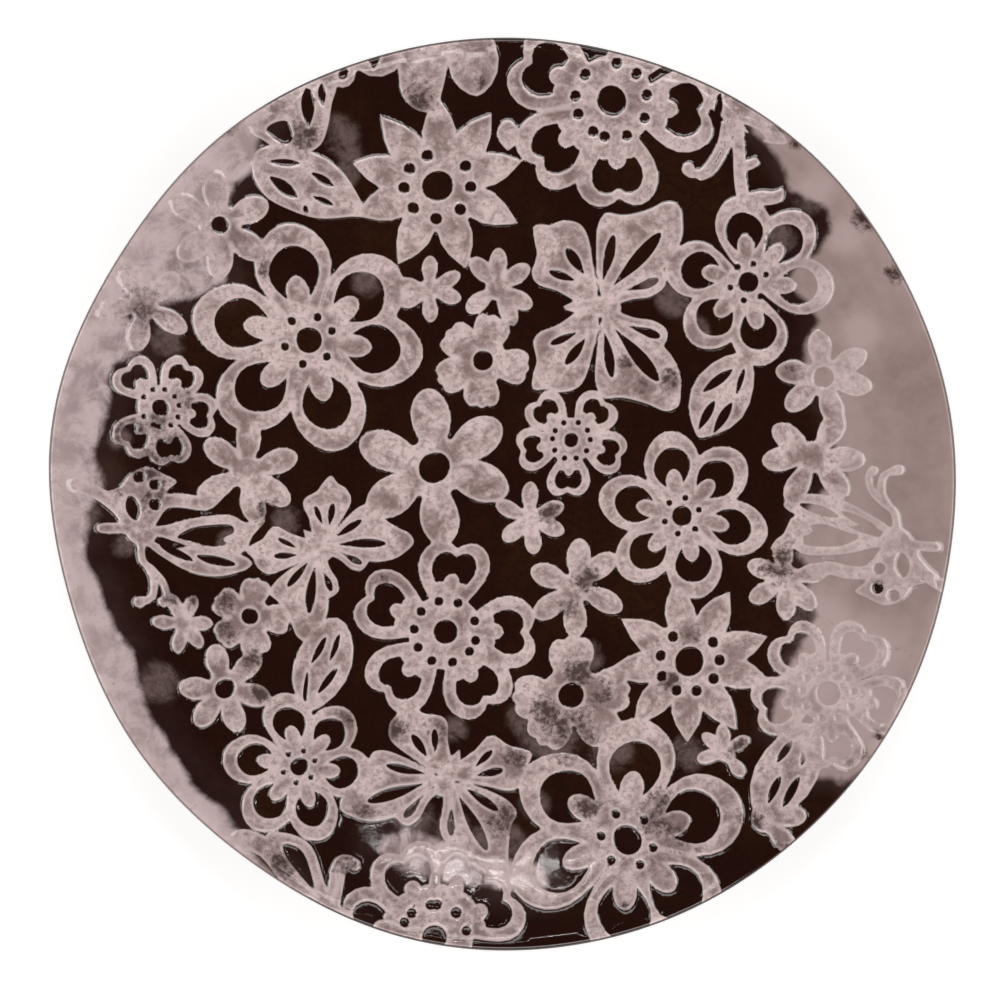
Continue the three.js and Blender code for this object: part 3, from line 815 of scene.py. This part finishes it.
def glaze_material(settings, mottling):
    material = bpy.data.materials.new("Lace glaze")
    material.use_nodes = True
    tree = material.node_tree
    tree.nodes.clear()
    board = Board(tree)
    place_on = board.add("ShaderNodeTexCoord").outputs["Object"]
    press, pour, wash = (board.attribute(name) for name in ("press", "pour", "wash"))
    bare, smear, rim = (board.attribute(name) for name in ("bare", "smear", "rim"))
    cloudy = board.add("ShaderNodeGroup", node_tree=mottling)
    board.give(cloudy.inputs[0], place_on)
    board.give(cloudy.inputs[1], bare)
    cloud, grain, spots_here = cloudy.outputs

    # brown ground
    slow = board.noise(place_on, 26, 3, 0.6)
    amber = board.ramp(slow, 0.45, 0.72, 0, 0.5)
    ground = board.mix(amber, tuple(settings.brown), colour(54, 29, 11))
    ground = board.mix(board.ramp(grain, 0.25, 0.85, 0, 0.5), ground, colour(20, 5, 2))
    # a grey-purple veil on the brown beside the pours: partly thin white glaze, partly painted sheen
    glaze_film_and_sheen = board.math("MAXIMUM", board.ramp(pour, -14, -1, 0, 0.55), board.ramp(wash, -9, 0, 0, 0.6))
    glaze_film_and_sheen = board.math("MULTIPLY", glaze_film_and_sheen, board.ramp(slow, 0.3, 0.7, 0.2, 1.0))
    ground = board.mix(board.math("MULTIPLY", glaze_film_and_sheen, 0.38), ground, colour(100, 80, 78))
    patchy = board.math("MULTIPLY", smear, board.math("ADD", board.math("MULTIPLY", cloud, 0.9), 0.45))
    pale = board.math("MULTIPLY", board.ramp(patchy, 0.2, 0.9, 0, 0.7), board.ramp(grain, 0, 1, 1.0, 0.6))
    ground = board.mix(pale, ground, colour(126, 107, 103))

    # white poured on the rim, thick on one side and thin on the other
    drift = board.math("MULTIPLY", board.math("SUBTRACT", slow, 0.5), 7.0)
    ragged = board.math("ADD", drift, board.math("MULTIPLY", board.math("SUBTRACT", cloud, 0.5), 1.4))
    poured = board.ramp(board.math("ADD", pour, ragged), -1.2, 2.2)
    washed = board.ramp(board.math("ADD", wash, ragged), -1.0, 2.4)
    rings = board.ramp(board.noise(rim, 11, 1, 0.5), 0.35, 0.65)
    runs = board.math("MULTIPLY", rings, board.ramp(slow, 0.35, 0.6))
    clouds = board.ramp(board.math("ADD", cloud, board.math("MULTIPLY", slow, 0.8)), 0.3, 1.4)
    poured_colour = board.mix(clouds, colour(132, 113, 112), tuple(settings.poured))
    poured_colour = board.mix(board.ramp(cloud, 0.1, 1.0, 0, 0.35), poured_colour, colour(214, 196, 195))
    poured_colour = board.mix(board.ramp(rim, 0.86, 0.97, 0, 0.45), poured_colour, colour(220, 200, 200))
    washed_colour = board.mix(slow, colour(142, 121, 117), tuple(settings.washed))
    washed_colour = board.mix(board.ramp(cloud, 0.1, 1.0, 0, 0.3), washed_colour, colour(186, 166, 163))
    washed_colour = board.mix(board.math("MULTIPLY", runs, 0.4), washed_colour, colour(188, 167, 164))
    thick = board.ramp(smear, 0.0, 1.0, 0, 0.7)
    washed_colour = board.mix(thick, washed_colour, colour(200, 179, 177))
    for share, white_here in ((poured, poured_colour), (washed, washed_colour)):
        ground = board.mix(share, ground, board.mix(spots_here, white_here, colour(70, 51, 46)))

    # white laid in the lace, thickest along its edges, where its lighter line is partly pooled glaze and
    # partly a painted highlight
    inside = board.ramp(press, -0.3, 0.2, 1.0, 0.0)
    pooled = board.ramp(press, -1.7, -0.3)
    white = board.mix(clouds, colour(142, 121, 118), tuple(settings.white))
    white = board.mix(board.ramp(grain, 0.3, 0.9, 0, 0.45), white, colour(120, 100, 97))
    covered = board.math("MAXIMUM", poured, washed)
    # painted highlight: the lace edges are made lighter all round, partly for pooled glaze, partly standing
    # in for glints on the little walls
    edge = board.math("MULTIPLY", pooled, board.ramp(covered, 0, 1, 0.65, 0.42))
    white = board.mix(edge, white, colour(232, 212, 210))
    thin = board.math("MULTIPLY", spots_here, board.ramp(pooled, 0, 1, 0.92, 0.7))
    white = board.mix(thin, white, colour(64, 45, 39))
    white = board.mix(board.math("MULTIPLY", covered, 0.35), white, colour(212, 193, 192))
    surface = board.mix(inside, ground, white)

    # the lip, where the glaze runs thin
    lip = board.ramp(rim, 0.9925, 0.9965)
    thick_left, thin_left = board.math("MULTIPLY", poured, 0.45), board.math("MULTIPLY", washed, 0.3)
    lip_white = board.math("MAXIMUM", thick_left, thin_left)
    surface = board.mix(lip, surface, board.mix(lip_white, colour(40, 23, 17), colour(150, 130, 126)))

    # gloss, and the fine ripple that breaks the reflections
    whiteness = board.math("MAXIMUM", inside, covered)
    rough = board.blend(whiteness, 0.05, 0.08)
    rough = board.math("ADD", rough, board.ramp(grain, 0.2, 0.9, 0, 0.04))
    ripple = board.math("ADD", board.math("MULTIPLY", cloud, 0.5), board.math("MULTIPLY", grain, 0.2))
    bump = board.add("ShaderNodeBump", {"Strength": 0.12, "Distance": 0.0003, "Height": ripple})
    values = {"Base Color": surface, "Roughness": rough, "Normal": bump.outputs[0]}
    shader = board.add("ShaderNodeBsdfPrincipled", values)
    shader.inputs["IOR"].default_value = 1.52
    out = board.add("ShaderNodeOutputMaterial")
    board.give(out.inputs[0], shader.outputs[0])
    return material


def clay_material(settings, mottling):
    material = bpy.data.materials.new("Bare clay")
    material.use_nodes = True
    tree = material.node_tree
    tree.nodes.clear()
    board = Board(tree)
    place_on = board.add("ShaderNodeTexCoord").outputs["Object"]
    cloudy = board.add("ShaderNodeGroup", node_tree=mottling)
    board.give(cloudy.inputs[0], place_on)
    cloudy.inputs[1].default_value = 0.0
    cloud, grit = cloudy.outputs[:2]
    surface = board.mix(board.math("MULTIPLY", cloud, 0.5), tuple(settings.clay), colour(158, 131, 106))
    surface = board.mix(board.math("MULTIPLY", grit, 0.6), surface, colour(144, 116, 92))
    bump = board.add("ShaderNodeBump", {"Strength": 0.3, "Distance": 0.0003, "Height": grit})
    shader = board.add("ShaderNodeBsdfPrincipled", {"Base Color": surface, "Normal": bump.outputs[0]})
    shader.inputs["Roughness"].default_value = 0.85
    out = board.add("ShaderNodeOutputMaterial")
    board.give(out.inputs[0], shader.outputs[0])
    return material


class PlatterGlazes(bpy.types.PropertyGroup):
    """Colours of the platter's glazes and clay"""

    brown: bpy.props.FloatVectorProperty(
        name="Brown ground",
        description="Glaze between the flowers",
        subtype="COLOR",
        size=4,
        default=colour(37, 10, 3),
    )
    white: bpy.props.FloatVectorProperty(
        name="White in the lace",
        description="Glaze laid in the pressed lace",
        subtype="COLOR",
        size=4,
        default=colour(225, 204, 202),
    )
    poured: bpy.props.FloatVectorProperty(
        name="White on the left rim",
        description="Glaze poured thickly over the rim",
        subtype="COLOR",
        size=4,
        default=colour(208, 190, 190),
    )
    washed: bpy.props.FloatVectorProperty(
        name="White on the right rim",
        description="Glaze washed thinly over the rim",
        subtype="COLOR",
        size=4,
        default=colour(178, 157, 154),
    )
    clay: bpy.props.FloatVectorProperty(
        name="Bare clay",
        description="Unglazed foot",
        subtype="COLOR",
        size=4,
        default=colour(172, 146, 120),
    )


class PlatterStage(bpy.types.PropertyGroup):
    """The floor, lights and camera"""

    floor_width: bpy.props.FloatProperty(
        name="Floor width", description="Width of the pale floor", default=8.0, min=1.0, unit="LENGTH"
    )
    camera_height: bpy.props.FloatProperty(
        name="Camera height",
        description="Height of the camera above the floor",
        default=1.6,
        min=0.5,
        unit="LENGTH",
    )
    view_width: bpy.props.FloatProperty(
        name="View width",
        description="Width of the picture at the height of the rim",
        default=0.3735,
        min=0.1,
        unit="LENGTH",
    )


# faces below this, in metres, are the foot, which is left unglazed
FOOT_LEVEL = 1e-6


class PLATTER_OT_platter(bpy.types.Operator):
    """Makes the pressed and glazed platter"""

    bl_idname = "platter.make_platter"
    bl_label = "Platter"

    def execute(self, context):
        settings = context.scene.platter_glazes
        mesh = build_platter()
        cloudy = mottling_group()
        mesh.materials.append(glaze_material(settings, cloudy))
        mesh.materials.append(clay_material(settings, cloudy))
        for face in mesh.polygons:
            if face.center.z < FOOT_LEVEL:
                face.material_index = 1
        piece = bpy.data.objects.new("lace_platter", mesh)
        context.scene.collection.objects.link(piece)
        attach(piece, "root")
        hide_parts("platter")
        return {"FINISHED"}


# name, place, size and power: a narrow window high over the far side, and wide soft panels held low
# all round, so that the flat well mirrors none of them into the camera
LIGHTS = (
    ("window", (0.06, 0.69, 1.2), (0.42, 0.014), 0.9),
    ("far_panel", (0.0, 2.1, 1.15), (2.6, 0.9), 27.0),
    ("left_panel", (-2.1, 0.0, 1.05), (2.4, 0.8), 26.0),
    ("right_panel", (2.1, 0.0, 1.05), (2.4, 0.8), 26.0),
    ("near_panel", (0.0, -2.1, 1.05), (2.6, 0.8), 33.0),
)
LIGHT_COLOUR = (1.0, 0.965, 0.955)
ROOM_COLOUR = (1, 0.95, 0.93, 1)
ROOM_STRENGTH = 0.07
FLOOR_COLOUR = (0.9, 0.9, 0.9, 1)
FLOOR_GLOW = 0.5
FLOOR_LEVEL = -0.0002  # a hair below the foot, so that the two never share a plane
SENSOR_WIDTH = 36


def lay_floor(context, width):
    bm = bmesh.new()
    bmesh.ops.create_grid(bm, x_segments=1, y_segments=1, size=width / 2)
    mesh = bpy.data.meshes.new("floor")
    bm.to_mesh(mesh)
    bm.free()
    material = bpy.data.materials.new("Pale floor")
    material.use_nodes = True
    shader = material.node_tree.nodes["Principled BSDF"]
    shader.inputs["Base Color"].default_value = FLOOR_COLOUR
    shader.inputs["Roughness"].default_value = 0.9
    shader.inputs["Specular IOR Level"].default_value = 0.0
    shader.inputs["Emission Color"].default_value = (1, 1, 1, 1)
    shader.inputs["Emission Strength"].default_value = FLOOR_GLOW
    mesh.materials.append(material)
    floor = bpy.data.objects.new("floor", mesh)
    floor.location.z = FLOOR_LEVEL
    context.scene.collection.objects.link(floor)


def hang_lamp(context, name, spot, size, power):
    light = bpy.data.lights.new(name, "AREA")
    light.shape = "RECTANGLE"
    light.size, light.size_y = size
    light.energy = power
    light.color = LIGHT_COLOUR
    lamp = bpy.data.objects.new(name, light)
    lamp.location = spot
    aim = -lamp.location
    lamp.rotation_mode = "QUATERNION"
    lamp.rotation_quaternion = aim.to_track_quat("-Z", "Y")
    lamp.visible_camera = False
    context.scene.collection.objects.link(lamp)


def light_room(context):
    world = bpy.data.worlds.new("Studio")
    world.use_nodes = True
    background = world.node_tree.nodes["Background"]
    background.inputs["Color"].default_value = ROOM_COLOUR
    background.inputs["Strength"].default_value = ROOM_STRENGTH
    context.scene.world = world
    context.scene.view_settings.view_transform = "Standard"


def set_camera(context, height, view_width):
    camera = bpy.data.cameras.new("camera")
    camera.sensor_width = SENSOR_WIDTH
    camera.lens = SENSOR_WIDTH * (height - PLATTER_HEIGHT * MM) / view_width
    eye = bpy.data.objects.new("camera", camera)
    # the picture's middle lies a little left of and below the platter's own
    eye.location = (-0.002 - MIDDLE[0] * MM, -0.0032 - MIDDLE[1] * MM, height)
    context.scene.collection.objects.link(eye)
    context.scene.camera = eye


class PLATTER_OT_stage(bpy.types.Operator):
    """Lays the floor and sets the lights and the camera"""

    bl_idname = "platter.make_stage"
    bl_label = "Stage"

    def execute(self, context):
        settings = context.scene.platter_stage
        lay_floor(context, settings.floor_width)
        for row in LIGHTS:
            hang_lamp(context, *row)
        light_room(context)
        set_camera(context, settings.camera_height, settings.view_width)
        return {"FINISHED"}


class PLATTER_PT_panel(bpy.types.Panel):
    """Lists the platter's pieces and colours"""

    bl_idname = "PLATTER_PT_panel"
    bl_label = "Platter"
    bl_space_type = "VIEW_3D"
    bl_region_type = "UI"
    bl_category = "Platter"

    def draw(self, context):
        layout = self.layout
        glazes = context.scene.platter_glazes
        for name in ("brown", "white", "poured", "washed", "clay"):
            layout.prop(glazes, name)
        layout.operator(PLATTER_OT_platter.bl_idname)
        stage = context.scene.platter_stage
        for name in ("floor_width", "camera_height", "view_width"):
            layout.prop(stage, name)
        layout.operator(PLATTER_OT_stage.bl_idname)


CLASSES = (PlatterGlazes, PlatterStage, PLATTER_OT_platter, PLATTER_OT_stage, PLATTER_PT_panel)


def register():
    for cls in CLASSES:
        bpy.utils.register_class(cls)
    bpy.types.Scene.platter_glazes = bpy.props.PointerProperty(type=PlatterGlazes)
    bpy.types.Scene.platter_stage = bpy.props.PointerProperty(type=PlatterStage)


def unregister():
    del bpy.types.Scene.platter_stage
    del bpy.types.Scene.platter_glazes
    for cls in reversed(CLASSES):
        bpy.utils.unregister_class(cls)


def main():
    register()
    bpy.ops.platter.make_platter()
    bpy.ops.platter.make_stage()


if __name__ == "__main__":
    main()
